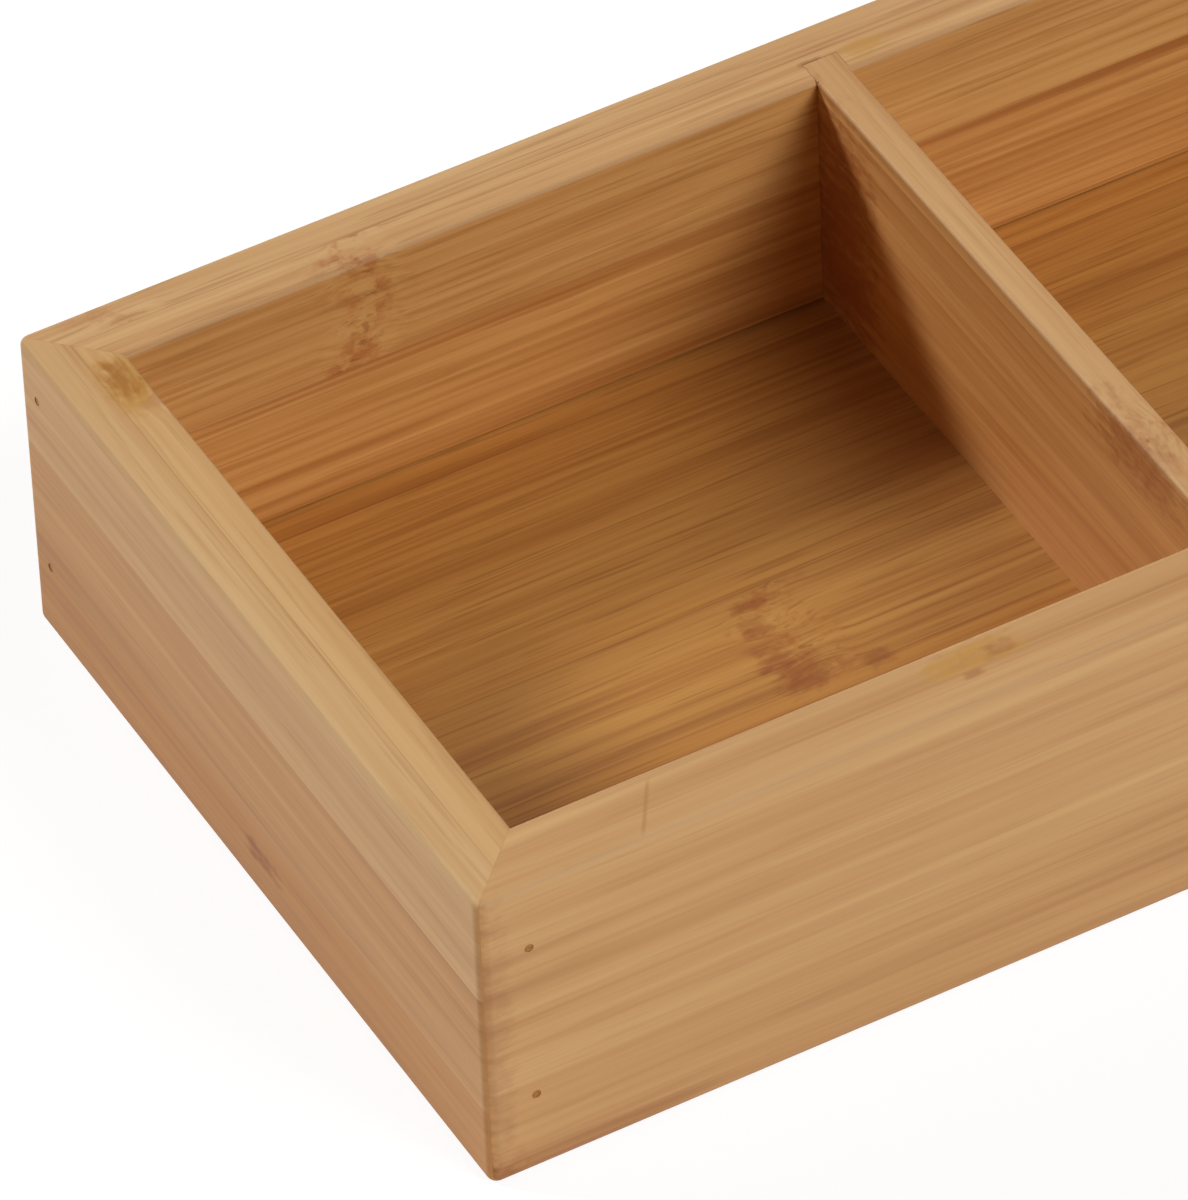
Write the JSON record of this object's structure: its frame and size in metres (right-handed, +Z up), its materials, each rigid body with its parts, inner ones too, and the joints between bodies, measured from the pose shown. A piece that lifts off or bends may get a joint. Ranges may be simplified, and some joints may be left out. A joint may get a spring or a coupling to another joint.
{
  "type": "cutlery tray",
  "caption": "Open rectangular bamboo tray with mitred walls, a floor held in grooves and upright dividers that part it into compartments for cutlery or small things in a drawer.",
  "frame": {"origin": "middle of the underside, on the surface that the tray stands on", "axes": "+X along the tray's length to the right, +Y from the front wall to the back wall, +Z up"},
  "size_m": [0.35, 0.127, 0.051],
  "materials": {
    "long_wall_bamboo": "satin lacquer over laminated bamboo, grain along the wall",
    "end_wall_bamboo": "satin lacquer over laminated bamboo, grain along the wall",
    "floor_bamboo": "satin lacquer over a bamboo panel, grain along the tray",
    "divider_bamboo": "satin lacquer over bamboo, grain along the divider",
    "brad_steel": "plain wire, dulled where it shows"
  },
  "bodies": {
    "root": {"front_wall": "long_wall_bamboo", "back_wall": "long_wall_bamboo", "left_end_wall": "end_wall_bamboo", "right_end_wall": "end_wall_bamboo", "floor_panel": "floor_bamboo", "left_divider": "divider_bamboo", "right_divider": "divider_bamboo", "front_left_lower_brad": "brad_steel", "front_left_upper_brad": "brad_steel", "front_right_lower_brad": "brad_steel", "front_right_upper_brad": "brad_steel", "back_left_lower_brad": "brad_steel", "back_left_upper_brad": "brad_steel", "back_right_lower_brad": "brad_steel", "back_right_upper_brad": "brad_steel"}
  },
  "joints": []
}
